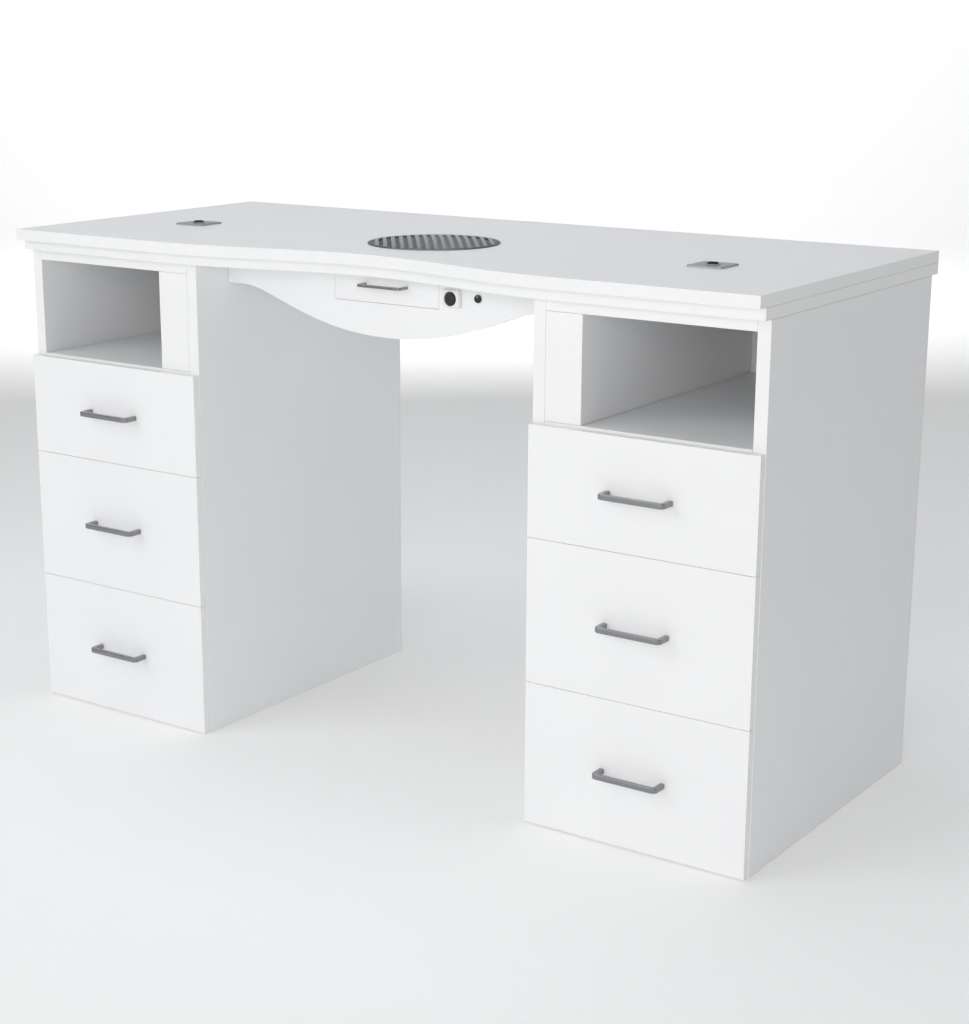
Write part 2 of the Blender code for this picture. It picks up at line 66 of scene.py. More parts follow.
# %% Place the camera
lens = bpy.data.cameras.new("catalogue_view")
lens.lens = 69.917
lens.sensor_width = 36
lens.shift_x = 0.03835
lens.shift_y = 0.02066
camera = bpy.data.objects.new("catalogue_view", lens)
camera.location = (1.66238, -2.37167, 1.07649)
camera.rotation_euler = (math.radians(75.1686), 0, math.radians(35.3128))
bpy.context.scene.collection.objects.link(camera)
bpy.context.scene.camera = camera

# %% [markdown]
# ## Colours and nodes
#
# Paint and plastic colours are given the way a designer gives them, as sRGB hex codes.
# Blender's shaders work in linear light, so one function does the conversion.
# A second small function adds a node: its settings, and for each input either a number
# or the socket that feeds it. Shader trees and geometry trees are both built with it.
# Most finishes are the same idea: blotches of colour, smears of gloss and a fine grain.

# %% Colour and node helpers
def linear(code):
    """An sRGB hex code as linear RGBA."""
    channels = [int(code[i : i + 2], 16) / 255 for i in (0, 2, 4)]
    straight = [c / 12.92 if c <= 0.04045 else ((c + 0.055) / 1.055) ** 2.4 for c in channels]
    return (*straight, 1.0)


def add_node(tree, kind, settings=None, inputs=None):
    made = tree.nodes.new(kind)
    for name, value in (settings or {}).items():
        setattr(made, name, value)
    for name, value in (inputs or {}).items():
        if isinstance(value, bpy.types.NodeSocket):
            tree.links.new(value, made.inputs[name])
        else:
            made.inputs[name].default_value = value
    return made


def finish(name, roughness, metallic=0.0):
    """A new material, with its tree, its shader and the object's own coordinates."""
    material = bpy.data.materials.new(name)
    material.use_nodes = True
    tree = material.node_tree
    shader = tree.nodes["Principled BSDF"]
    shader.inputs["Roughness"].default_value = roughness
    shader.inputs["Metallic"].default_value = metallic
    place = add_node(tree, "ShaderNodeTexCoord").outputs["Object"]
    return material, tree, shader, place


def cloud(tree, place, size, detail=2.0, stretch=(1, 1, 1), turn=0.0):
    """Noise from 0 to 1 whose blotches are about one size across, in metres."""
    mapped = add_node(
        tree, "ShaderNodeMapping", None, {"Vector": place, "Scale": stretch, "Rotation": (0, 0, turn)}
    ).outputs["Vector"]
    return add_node(
        tree, "ShaderNodeTexNoise", None, {"Vector": mapped, "Scale": 1 / size, "Detail": detail}
    ).outputs["Fac"]


def tint(tree, shader, amount, dark, light):
    """The base colour runs between two hex colours with an amount from 0 to 1."""
    mix = add_node(
        tree, "ShaderNodeMix", {"data_type": "RGBA"}, {0: amount, 6: linear(dark), 7: linear(light)}
    )
    tree.links.new(mix.outputs[2], shader.inputs["Base Color"])


def polish(tree, shader, amount, low, high):
    """The roughness runs between two values with an amount from 0 to 1."""
    spread = add_node(
        tree, "ShaderNodeMapRange", None, {"Value": amount, "To Min": low, "To Max": high}
    )
    tree.links.new(spread.outputs["Result"], shader.inputs["Roughness"])


def relief(tree, shader, height, depth):
    """A bump whose hills are a given depth, in metres."""
    bump = add_node(tree, "ShaderNodeBump", None, {"Height": height, "Distance": depth})
    bump.inputs["Strength"].default_value = 1.0
    tree.links.new(bump.outputs["Normal"], shader.inputs["Normal"])


def cloudy(name, roughness, metallic, blotches, smears=None, grain=None, rim=None):
    """A finish whose colour, gloss and relief each follow a noise of their own.

    Blotches are (size, detail, dark, light), smears are (size, detail, low, high), and
    grain is (size, detail, depth) and perhaps a stretch. Sizes and depths are in mm.
    """
    material, tree, shader, place = finish(name, roughness, metallic)
    size, detail, dark, light = blotches
    tint(tree, shader, cloud(tree, place, size * MM, detail), dark, light)
    if smears:
        size, detail, low, high = smears
        polish(tree, shader, cloud(tree, place, size * MM, detail), low, high)
    if grain:
        size, detail, depth, *stretch = grain
        relief(tree, shader, cloud(tree, place, size * MM, detail, *stretch), depth * MM)
    if rim:
        shader.inputs["Specular Tint"].default_value = linear(rim)
    return material


print("white laminate in linear light:", [round(c, 3) for c in linear("F3F4F6")[:3]])

# %% [markdown]
# ## Laminated board
#
# The panels are chipboard faced with white melamine: paper soaked in resin and pressed
# hot against a steel plate, which leaves a satin pearl. The pearl's grains are about
# 0.4 mm. That is too fine to show from here, so they are drawn 1.6 mm across.
# Its edges are closed with a strip of ABS, a little smoother and whiter than the face,
# scraped flush lengthwise. Two materials and a choice by direction give both.

# %% Melamine face and ABS edge band
MELAMINE = cloudy(
    "satin_white_melamine", 0.40, 0.0,
    (140, 2, "F1F2F4", "F5F6F7"), (30, 4, 0.35, 0.46), (1.6, 2, 0.012),
)
EDGE_BAND = cloudy(
    "white_abs_edge_band", 0.33, 0.0,
    (60, 2, "F3F4F5", "F6F7F7"), (12, 3, 0.27, 0.38), (2.2, 2, 0.010, (0.08, 0.08, 1)),
)
print(MELAMINE.name, EDGE_BAND.name)

# %% [markdown]
# ## Plated and pressed metal
#
# The handles are zinc castings with dark chrome plate: mirror smooth, greyer than silver
# chrome, dulled here and there by fingers. The lamp plates have the same plate over a
# blasted surface, so they are satin.
# The grille is satin steel, brushed along its bars. The slides and the filter tray are
# bright zinc, whose crystals show as faint spangles some millimetres wide.
# Screws are nickel plated. A metal's rim colour is its specular tint, seen when light
# glances off it. The satin plate and the steel have that tint set a little below white.

# %% Chrome, steel, zinc and nickel
CHROME = cloudy(
    "dark_chrome_plate", 0.14, 1.0,
    (25, 2, "8B8C8E", "97989A"), (9, 4, 0.09, 0.20), (5, 2, 0.004),
)
SATIN_CHROME = cloudy(
    "satin_dark_chrome", 0.38, 1.0,
    (18, 2, "B0B1B3", "B8B9BB"), (6, 4, 0.33, 0.44), (0.5, 2, 0.006), "DEDFE0",
)
NICKEL = cloudy(
    "nickel_plated_screw", 0.28, 1.0, (4, 2, "B2AFA8", "C9C6BF"), (1.5, 2, 0.22, 0.36)
)


def brushed_steel(turn):
    """Satin steel, brushed along a direction in the horizontal plane."""
    material, tree, shader, place = finish("satin_brushed_steel", 0.34, 1.0)
    shader.inputs["Specular Tint"].default_value = linear("CFD0D1")
    scratches = cloud(tree, place, 0.9 * MM, 3, (0.05, 1, 1), -turn)
    tint(tree, shader, scratches, "A9ABAD", "C2C4C6")
    polish(tree, shader, scratches, 0.28, 0.44)
    relief(tree, shader, scratches, 0.010 * MM)
    return material


def bright_zinc():
    material, tree, shader, place = finish("bright_zinc_plate", 0.32, 1.0)
    spangles = add_node(tree, "ShaderNodeTexVoronoi", None, {"Vector": place, "Scale": 1 / (7 * MM)})
    grey = add_node(tree, "ShaderNodeSeparateColor", None, {"Color": spangles.outputs["Color"]})
    tint(tree, shader, grey.outputs["Red"], "BCC0C4", "C8CBCE")
    polish(tree, shader, grey.outputs["Green"], 0.30, 0.36)
    relief(tree, shader, cloud(tree, place, 3 * MM), 0.006 * MM)
    return material


GRILLE_TURN = math.atan2(-0.79, 0.61)  # the grille's bars run this way, from +X
STEEL = brushed_steel(GRILLE_TURN)
ZINC = bright_zinc()
print([m.name for m in (CHROME, SATIN_CHROME, STEEL, ZINC, NICKEL)])

# %% [markdown]
# ## Moulded plastic, foam and hardboard
#
# White ABS covers come from a spark-eroded mould, which leaves an even fine grain.
# The rocker is black ABS from a polished mould, so it is almost a mirror. The fan is
# glass-filled nylon, whose fibres leave it duller.
# The filter foam is charcoal, a net of open cells about 1.5 mm across: cell walls are
# grey, the middle of each cell is painted nearly black as painted shade inside the pores,
# and a bump from the same pattern lifts the net.
# The drawer bottoms are hardboard with a thin coat of white lacquer.

# %% Plastics, foam and hardboard
WHITE_ABS = cloudy(
    "spark_eroded_white_abs", 0.42, 0.0, (50, 2, "E9EAEA", "EEEFEF"), None, (0.9, 2, 0.02)
)
BLACK_ABS = cloudy(
    "polished_black_abs", 0.16, 0.0, (20, 2, "26272A", "323335"), (6, 4, 0.10, 0.24)
)
NYLON = cloudy(
    "glass_filled_black_nylon", 0.50, 0.0, (2, 3, "1E1F20", "2A2B2C"), None, (0.8, 2, 0.02)
)
HARDBOARD = cloudy(
    "lacquered_hardboard", 0.55, 0.0, (3, 5, "E2E2DF", "EBEBE8"), None, (1.2, 4, 0.02)
)


def filter_foam():
    material, tree, shader, place = finish("open_cell_filter_foam", 0.95)
    cells = add_node(tree, "ShaderNodeTexVoronoi", None, {"Vector": place, "Scale": 1 / (1.5 * MM)})
    pore_shade_and_bump = cells.outputs["Distance"]
    # painted shade: each cell's middle is painted near black for the shade inside the open pores; the
    # cell walls keep the foam's own grey
    tint(tree, shader, pore_shade_and_bump, "1C1D1E", "5A5C5E")
    relief(tree, shader, pore_shade_and_bump, 0.4 * MM)
    return material


FOAM = filter_foam()
print([m.name for m in (WHITE_ABS, BLACK_ABS, NYLON, FOAM, HARDBOARD)])

# %% [markdown]
# ## The studio
#
# White furniture is shot in a round white cove: the floor sweeps up into the wall, so
# there is no horizon. The cove is turned from one profile. It glows a little, because a
# real one is lit by lamps of its own.
# The key is a large soft lamp high at the front left. A second lamp stands straight in
# front and a third beside the camera, both low, to reach into the open cubbies. A wide
# panel hangs overhead, and one lamp hidden behind the table washes the wall, so that
# the wall is white without lighting the table's front.

# %% Cove, lamps and view
def outward(bm):
    bmesh.ops.recalc_face_normals(bm, faces=bm.faces)


def mesh_of(name, bm, materials=()):
    mesh = bpy.data.meshes.new(name)
    bm.to_mesh(mesh)
    bm.free()
    for material in materials:
        mesh.materials.append(material)
    return mesh


def shown(name, mesh):
    made = bpy.data.objects.new(name, mesh)
    bpy.context.scene.collection.objects.link(made)
    return made


def cove():
    material, tree, shader, place = finish("cove_paint", 0.9)
    tint(tree, shader, cloud(tree, place, 0.8), "F6F6F6", "F8F8F8")
    shader.inputs["Emission Color"].default_value = (1, 1, 1, 1)
    shader.inputs["Emission Strength"].default_value = 0.14
    flat, bend, wall = 7.0, 2.0, 4.5
    steps = 12
    profile = [(0.0, 0.0), (flat, 0.0)]
    for i in range(1, steps + 1):
        angle = math.pi / 2 * i / steps
        profile.append((flat + bend * math.sin(angle), bend - bend * math.cos(angle)))
    profile.append((flat + bend, wall))
    bm = bmesh.new()
    points = [bm.verts.new((x, 0, z)) for x, z in profile]
    edges = [bm.edges.new(pair) for pair in zip(points, points[1:])]
    bmesh.ops.spin(
        bm, geom=points + edges, axis=(0, 0, 1), cent=(0, 0, 0), angle=math.tau, steps=96,
        use_merge=True,
    )
    bmesh.ops.remove_doubles(bm, verts=bm.verts, dist=MM)
    outward(bm)
    mesh = mesh_of("cove", bm, [material])
    mesh.shade_smooth()
    return shown("cove", mesh)


def soft_lamp(name, towards, travel, distance, size, power, code="FFFFFF"):
    """A square lamp whose light travels one way and lands on a point."""
    data = bpy.data.lights.new(name, "AREA")
    data.size = size
    data.energy = power
    data.color = linear(code)[:3]
    made = shown(name, data)
    way = Vector(travel).normalized()
    made.location = Vector(towards) - way * distance
    made.rotation_euler = way.to_track_quat("-Z", "Y").to_euler()


cove()
table_middle = (0, 0, 0.4)
soft_lamp("key_lamp", table_middle, (0.45, 0.75, -0.55), 4.0, 2.5, 33)
soft_lamp("front_fill", table_middle, (0, 1, -0.15), 4.0, 2.5, 4)
soft_lamp("cubby_fill", table_middle, (-0.38, 0.9, -0.2), 4.0, 2.0, 38, "FFFCF8")
soft_lamp("overhead_panel", table_middle, (0, 0, -1), 3.2, 3.0, 38, "F4F9FF")
soft_lamp("wall_wash", (-5.2, 7.2, 1.0), (-0.55, 0.75, -0.35), 5.5, 3.0, 155)
world = bpy.data.worlds.new("room_light")
world.use_nodes = True
world.node_tree.nodes["Background"].inputs["Color"].default_value = (1, 1, 1, 1)
world.node_tree.nodes["Background"].inputs["Strength"].default_value = 0.20
bpy.context.scene.world = world
bpy.context.scene.view_settings.view_transform = "Standard"

# %% [markdown]
# ## From mesh to finished piece
#
# Each piece is worked on as a bmesh and then becomes an object at the origin, with its
# place in its mesh. It rides on the body that carries it. A piece that stands for a solid
# hides that solid.
# Large flat faces that meet small rounded edges shade badly with plain smooth normals,
# so a Weighted Normal modifier lets the large faces decide, and is then made real.

# %% Piece helpers
def real_mesh(obj):
    """The object's mesh once its modifiers, nodes or curve are made real."""
    bpy.context.view_layer.update()
    graph = bpy.context.evaluated_depsgraph_get()
    return bpy.data.meshes.new_from_object(obj.evaluated_get(graph), depsgraph=graph)


def shade(mesh, degrees=32):
    """Smooth shading that keeps real corners, with flat faces kept flat beside round ones."""
    mesh.shade_smooth()
    mesh.set_sharp_from_angle(angle=math.radians(degrees))
    helper = shown("shading", mesh)
    weigh = helper.modifiers.new("weigh", "WEIGHTED_NORMAL")
    weigh.keep_sharp = True
    weighed = real_mesh(helper)
    bpy.data.objects.remove(helper)
    return weighed


def hung(name, mesh, body, stands_for, degrees):
    """A shaded piece that rides on its body and hides the solids it stands for."""
    mesh = shade(mesh, degrees)
    mesh.name = name
    obj = shown(name, mesh)
    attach(obj, body)
    if stands_for:
        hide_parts(*stands_for)
    return obj


def made_piece(name, bm, materials, body, stands_for=(), degrees=32):
    """A finished piece from a bmesh."""
    return hung(name, mesh_of(name, bm, materials), body, stands_for, degrees)


def solid_of(node):
    """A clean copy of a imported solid: corners merged, flat faces whole again."""
    bm = bmesh.new()
    bm.from_mesh(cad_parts[node].data)
    bmesh.ops.remove_doubles(bm, verts=bm.verts, dist=0.002 * MM)
    bmesh.ops.dissolve_limit(bm, angle_limit=math.radians(0.3), verts=bm.verts, edges=bm.edges)
    return bm


def ease(bm, radius, segments=3, sharper_than=40):
    """Rounds every corner sharper than an angle in degrees."""
    limit = math.radians(sharper_than)
    edges = [e for e in bm.edges if len(e.link_faces) == 2 and e.calc_face_angle(0) > limit]
    bmesh.ops.bevel(
        bm, geom=edges, offset=radius, segments=segments, profile=0.5, affect="EDGES",
        clamp_overlap=True,
    )
    return bm


print("first solid has", len(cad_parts["tabletop"].data.polygons), "triangles")

# %% [markdown]
# ## The boards
#
# Every panel of the carcass, and every drawer front, is one sawn board. The edge strip
# is 1 mm thick and is milled to a 0.8 mm radius, which is what catches the light.
# The solids have knife edges, so each board is copied, its corners are rounded, and its
# faces are sorted: those that look along the board's thin direction are melamine, the
# rest are edge band.

# %% Round and band the boards
EDGE_RADIUS = 0.5 * MM


def banded_board(node, body):
    low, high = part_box(node)
    size = high - low
    thin = min(range(3), key=lambda axis: size[axis])
    bm = ease(solid_of(node), EDGE_RADIUS)
    bm.normal_update()
    for face in bm.faces:
        face.material_index = 0 if abs(face.normal[thin]) > 0.99 else 1
    return made_piece(node + "_board", bm, (MELAMINE, EDGE_BAND), body, [node])


boards = ["tabletop", "sub_top", "apron_panel"]
for side in SIDES:
    for panel in ("side_outer", "side_inner", "back_panel", "top_panel", "cubby_shelf",
                  "cubby_partition", "bottom_panel"):
        boards.append(f"{panel}_{side}")
for board in boards:
    banded_board(board, "carcass")
for drawer in DRAWERS:
    banded_board("drawer_front_" + drawer, "drawer_" + drawer)
banded_board("tray_front", "filter_tray")
print(len(boards) + len(DRAWERS) + 1, "boards")

# %% [markdown]
# ## Skins, turnings and sweeps
#
# Most of the small parts are one of three shapes. A loft skins a row of rings that have
# the same number of points. A turning is a loft whose rings are circles, and a sweep
# carries one section along a level path, square to it, as a bent bar is made.
# Each takes a matrix that puts the shape where it belongs.

# %% Loft, turning and sweep
def loft(bm, rings, place=Matrix(), caps=(True, True), finish_index=0):
    """Skins rings of points, each ring running anticlockwise and lying above the last."""
    made = [[bm.verts.new(place @ Vector(p)) for p in ring] for ring in rings]
    faces = []
    for a, b in zip(made, made[1:]):
        for i in range(len(a)):
            j = (i + 1) % len(a)
            faces.append(bm.faces.new((a[i], a[j], b[j], b[i])))
    if caps[0]:
        faces.append(bm.faces.new(made[0][::-1]))
    if caps[1]:
        faces.append(bm.faces.new(made[-1]))
    for face in faces:
        face.material_index = finish_index
    return bm


def circle(radius, height=0.0, steps=48):
    turns = [math.tau * i / steps for i in range(steps)]
    return [(radius * math.cos(t), radius * math.sin(t), height) for t in turns]


def turned(bm, profile, place=Matrix(), caps=(True, True), finish_index=0, steps=48):
    """A profile of (radius, height) points, from the bottom up the outside."""
    return loft(bm, [circle(r, h, steps) for r, h in profile], place, caps, finish_index)


def in_mm(profile, base=0.0):
    """Points of (radius, height) given in millimetres, with the heights above a base."""
    return [(r * MM, base + h * MM) for r, h in profile]


def rounded(half_x, half_y, corner, height=0.0, steps=6, along=0):
    """A rounded rectangle, with some points along each of its sides."""
    points = []
    for quarter, (sx, sy) in enumerate(((1, 1), (-1, 1), (-1, -1), (1, -1))):
        for i in range(steps + 1):
            angle = math.pi / 2 * (quarter + i / steps)
            x = sx * (half_x - corner) + corner * math.cos(angle)
            y = sy * (half_y - corner) + corner * math.sin(angle)
            points.append(Vector((x, y, height)))
    if not along:
        return points
    spread = []
    for i, point in enumerate(points):
        spread.append(point)
        if i % (steps + 1) == steps:
            after = points[(i + 1) % len(points)]
            spread += [point.lerp(after, k / (along + 1)) for k in range(1, along + 1)]
    return spread


def rounder(ring, radius, height):
    """The ring's points drawn in, each along its own ray, to a circle."""
    return [(*(Vector(p[:2]).normalized() * radius), height) for p in ring]


def swept(bm, path, section, place=Matrix(), finish_index=0):
    """A section of (outward, up) points carried along a level path of (x, y) points."""
    rings = []
    for i, here in enumerate(path):
        along = Vector(path[min(i + 1, len(path) - 1)]) - Vector(path[max(i - 1, 0)])
        out = Vector((along.y, -along.x)).normalized()
        spots = [Vector(here) + out * u for u, _ in section]
        rings.append([(*spot, v) for spot, (_, v) in zip(spots, section)])
    return loft(bm, rings, place, (True, True), finish_index)


def plank(bm, low, high, radius=0.4 * MM, finish_index=0):
    """A cuboid between any two opposite corners, with rounded edges."""
    low, high = Vector(map(min, low, high)), Vector(map(max, low, high))
    size = Matrix.Diagonal((*(high - low), 1))
    made = bmesh.ops.create_cube(bm, size=1.0, matrix=Matrix.Translation((low + high) / 2) @ size)
    edges = list({e for v in made["verts"] for e in v.link_edges})
    faces = list({f for v in made["verts"] for f in v.link_faces})
    for face in faces:
        face.material_index = finish_index
    if radius:
        bmesh.ops.bevel(
            bm, geom=edges, offset=radius, segments=2, profile=0.5, affect="EDGES",
            clamp_overlap=True, material=finish_index,
        )
    return bm


print("a lamp plate's outline has", len(rounded(26 * MM, 26 * MM, 4 * MM, 0, 6, 10)), "points")

# %% [markdown]
# ## Node trees for what repeats
#
# Screws, balls, blades, bars and punched holes are not placed one by one. Each kind is
# a small Geometry Nodes tree with named inputs, so its count and its pitch can be
# changed in one place. `grown` hangs a tree on an empty mesh, sets the inputs by their
# identifiers before anything is evaluated, and keeps the plain mesh that comes out.
# The seed is fixed, so every run gives the same table.

# %% Node tree helpers
SEED = 11


def new_tree(name, sockets):
    """A node group with a geometry output, and named inputs with their kinds."""
    tree = bpy.data.node_groups.new(name, "GeometryNodeTree")
    tree.interface.new_socket("Geometry", in_out="OUTPUT", socket_type="NodeSocketGeometry")
    for label, kind in sockets.items():
        tree.interface.new_socket(label, in_out="INPUT", socket_type="NodeSocket" + kind)
    return tree, add_node(tree, "NodeGroupInput").outputs


def geo(tree, kind, inputs=None, settings=None):
    """The first output of a new Geometry Nodes node."""
    return add_node(tree, "GeometryNode" + kind, settings, inputs).outputs[0]


def close_tree(tree, geometry, material):
    """Makes the instances real, gives them their material and ends the tree."""
    real = geo(tree, "RealizeInstances", {"Geometry": geometry})
    dressed = geo(tree, "SetMaterial", {"Geometry": real, "Material": material})
    add_node(tree, "NodeGroupOutput", None, {"Geometry": dressed})


def sum_node(tree, operation, *values):
    inputs = dict(enumerate(values))
    return add_node(tree, "ShaderNodeMath", {"operation": operation}, inputs).outputs[0]


def vector_of(tree, **parts):
    return add_node(tree, "ShaderNodeCombineXYZ", None, parts).outputs[0]


def distance_out(tree, where):
    return add_node(tree, "ShaderNodeVectorMath", {"operation": "LENGTH"}, {0: where}).outputs["Value"]


def around_z(tree, part, index, count):
    """Copies of a part, turned about Z by equal steps."""
    spots = geo(tree, "MeshLine", {"Count": count, "Offset": (0, 0, 0)})
    share = sum_node(tree, "DIVIDE", index, count)
    turn = vector_of(tree, Z=sum_node(tree, "MULTIPLY", share, math.tau))
    return geo(tree, "InstanceOnPoints", {"Points": spots, "Instance": part, "Rotation": turn})


def joined(tree, *parts):
    both = add_node(tree, "GeometryNodeJoinGeometry")
    for part in parts:
        tree.links.new(part, both.inputs[0])
    return both.outputs[0]


def grown(name, tree, values, points=(), sheet=0.0):
    """The mesh that a tree makes from these values, and from these points if it takes any."""
    mesh = bpy.data.meshes.new(name)
    mesh.from_pydata([tuple(p) for p in points], [], [])
    host = shown(name, mesh)
    nodes = host.modifiers.new("grow", "NODES")
    nodes.node_group = tree
    for item in tree.interface.items_tree:
        if item.in_out == "INPUT" and item.name in values:
            nodes[item.identifier] = values[item.name]
    if sheet:
        thicken = host.modifiers.new("sheet", "SOLIDIFY")
        thicken.thickness = sheet
        thicken.offset = -1
    made = real_mesh(host)
    bpy.data.objects.remove(host)
    return made


def grown_piece(name, mesh, place, body, stands_for=(), degrees=32):
    """A finished piece from a grown mesh, which keeps the materials of its tree."""
    mesh.transform(place)
    return hung(name, mesh, body, stands_for, degrees)


print("tree helpers ready, seed", SEED)

# %% [markdown]
# ## Two trees for every part
#
# The first tree puts a part on each point it is given, and serves the screws and balls.
# The second turns copies of a part about the vertical by equal steps, and serves the fan.

# %% Parts on points, and parts in a ring
def parts_on_points():
    """A part on each point, turned by chance about one axis."""
    tree, given = new_tree("parts_on_points", {
        "Points": "Geometry", "Part": "Object", "Axis": "Vector", "Most_Turn": "Float",
        "Seed": "Int", "Material": "Material",
    })
    part = add_node(tree, "GeometryNodeObjectInfo", None, {"Object": given["Part"]})
    chance = add_node(
        tree, "FunctionNodeRandomValue", {"data_type": "FLOAT"},
        {3: given["Most_Turn"], 8: given["Seed"]},
    )
    turn = add_node(
        tree, "FunctionNodeAxisAngleToRotation", None,
        {"Axis": given["Axis"], "Angle": chance.outputs[1]},
    )
    placed = geo(tree, "InstanceOnPoints", {
        "Points": given["Points"], "Instance": part.outputs["Geometry"], "Rotation": turn.outputs[0],
    })
    close_tree(tree, placed, given["Material"])
    return tree


def part_ring():
    tree, given = new_tree("part_ring", {"Part": "Object", "Count": "Int", "Material": "Material"})
    part = add_node(tree, "GeometryNodeObjectInfo", None, {"Object": given["Part"]})
    placed = around_z(tree, part.outputs["Geometry"], geo(tree, "InputIndex"), given["Count"])
    close_tree(tree, placed, given["Material"])
    return tree


ON_POINTS = parts_on_points()
RING = part_ring()
print([tree.name for tree in (ON_POINTS, RING)])

# %% [markdown]
# ## Bow handles
#
# The handles are cast in one piece: a square bar with a small radius on its edges,
# bent tightly at both ends so that it stands square on the drawer front. Their sizes
# are read from the solids, so the tray's slimmer handle comes from the same function.

# %% Cast the handles
def bow_handle(node, body):
    low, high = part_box(node)
    size = high - low
    bar, half, out = size.z, size.x / 2, size.y
    bend = bar / 2 + MM
    grip = -(out - bar / 2)
    right = [(half - bar / 2, 0.0), (half - bar / 2, grip + bend + MM)]
    for i in range(9):
        angle = math.radians(90 * i / 8)
        centre = (half - bar / 2 - bend, grip + bend)
        right.append((centre[0] + bend * math.cos(angle), centre[1] - bend * math.sin(angle)))
    path = [(-x, y) for x, y in right] + right[::-1]
    section = [(p.x, p.y) for p in rounded(bar / 2, bar / 2, 1.1 * MM, 0, 4)]
    place = Matrix.Translation(((low.x + high.x) / 2, high.y + 0.3 * MM, (low.z + high.z) / 2))
    bm = swept(bmesh.new(), path, section, place)
    outward(bm)
    return made_piece(node + "_bow", bm, [CHROME], body, [node], 40)


for drawer in DRAWERS:
    bow_handle("handle_" + drawer, "drawer_" + drawer)
bow_handle("tray_handle", "filter_tray")

# %% [markdown]
# ## Lamp sockets
#
# A lamp arm's pin drops into a bore in the top. The casting around it is a thin square
# plate with a slight raised ring about the hole. A black nylon bush lines the bore, so
# that the arm turns without scratching. It stands 2 mm proud, which marks the hole. The
# bush's black wall and a black disc at the bottom of the bore are also painted shade,
# standing in for the shade deep inside the hole.

# %% Lamp plates with their bushes
SOCKET_DEEP = 34
COLLAR_HIGH = 0.8
PLATE_THICK = 2.2
PLATE_CORNER = 4 * MM


def lamp_plate(node):
    low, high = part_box(node)
    place = Matrix.Translation(((low.x + high.x) / 2, (low.y + high.y) / 2, 0))
    half = (high.x - low.x) / 2
    top = high.z
    face = top - COLLAR_HIGH * MM
    outline = rounded(half, half, PLATE_CORNER, face - PLATE_THICK * MM, 6, 10)
    rings = [outline]
    for inset, drop in ((0, 0.7), (0.25, 0.2), (0.8, 0)):
        inset *= MM
        rings.append(rounded(half - inset, half - inset, PLATE_CORNER - inset, face - drop * MM, 6, 10))
    collar = in_mm(((11.2, -0.8), (10.5, -0.6), (10.1, -0.2), (9.7, 0), (7.6, 0), (7.4, -0.6)), top)
    for radius, height in collar:
        rings.append(rounder(outline, radius, height))
    bm = loft(bmesh.new(), rings, place, (True, False), 0)
    # painted shade: the black bush wall and the black disc at the bore's bottom stand in for the shade
    # deep in the bore
    flange = [(7.4, -0.6), (7.4, 1.4), (7.2, 1.8), (6.9, 1.9), (6.5, 1.8), (6.25, 1.3)]
    bush = flange + [(6.25, -SOCKET_DEEP)]
    floor = [(6.25, -SOCKET_DEEP), (0.2, -SOCKET_DEEP)]
    for profile in (bush, floor):
        turned(bm, in_mm(profile, top), place, (False, False), 1, 40)
    return made_piece(
        node + "_casting", bm, [SATIN_CHROME, NYLON], "carcass", [node], 50
    )


for side in SIDES:
    lamp_plate("lamp_socket_" + side)
print("lamp plates:", len(SIDES))

# %% [markdown]
# ## The grille
#
# Fifteen bars cross a round opening, 11.7 mm apart, over a low crown that keeps the
# hand's dust moving in and water out. The tree lays a line of points across the
# opening, puts a straight bar on each, stretches it to the chord of the circle there,
# and lifts it onto the crown. Only then does it sweep the bar's section along it.
# A turned ring holds the bars: a rolled rim on the top, and a skirt down into the hole.
# A thin white sleeve lines the hole, so that dust does not settle on raw chipboard.

# %% Bars by Geometry Nodes, and their ring
def crowned_bars():
    tree, given = new_tree("crowned_bars", {
        "Count": "Int", "First": "Vector", "Step": "Vector", "Radius": "Float", "Crown": "Float",
        "Wide": "Float", "Thick": "Float", "Material": "Material",
    })
    line = geo(tree, "MeshLine", {
        "Count": given["Count"], "Start Location": given["First"], "Offset": given["Step"],
    })
    where = geo(tree, "InputPosition")
    apart = add_node(tree, "ShaderNodeSeparateXYZ", None, {"Vector": where})
    radius_squared = sum_node(tree, "POWER", given["Radius"], 2.0)
    across_squared = sum_node(tree, "POWER", sum_node(tree, "ABSOLUTE", apart.outputs["Y"]), 2.0)
    half_chord = sum_node(tree, "SQRT", sum_node(tree, "SUBTRACT", radius_squared, across_squared))
    chord = vector_of(tree, X=sum_node(tree, "MULTIPLY", half_chord, 2.0), Y=1.0, Z=1.0)
    bar = geo(tree, "CurvePrimitiveLine", {"Start": (-0.5, 0, 0), "End": (0.5, 0, 0)})
    placed = geo(tree, "InstanceOnPoints", {"Points": line, "Instance": bar, "Scale": chord})
    real = geo(tree, "RealizeInstances", {"Geometry": placed})
    finer = geo(tree, "ResampleCurve", {"Curve": real, "Count": 25})
    share = sum_node(tree, "DIVIDE", distance_out(tree, where), given["Radius"])
    drop = sum_node(tree, "POWER", share, 2.0)
    rise = sum_node(tree, "MULTIPLY", sum_node(tree, "SUBTRACT", 1.0, drop), given["Crown"])
    bent_bars = geo(tree, "SetPosition", {"Geometry": finer, "Offset": vector_of(tree, Z=rise)})
    level = geo(tree, "SetCurveNormal", {"Curve": bent_bars}, {"mode": "Z_UP"})
    section = geo(
        tree, "CurvePrimitiveQuadrilateral", {"Width": given["Wide"], "Height": given["Thick"]}
    )
    soft = geo(
        tree, "FilletCurve", {"Curve": section, "Radius": 0.5 * MM, "Count": 3}, {"mode": "POLY"}
    )
    solid = geo(tree, "CurveToMesh", {"Curve": level, "Profile Curve": soft, "Fill Caps": True})
    close_tree(tree, solid, given["Material"])
    return tree


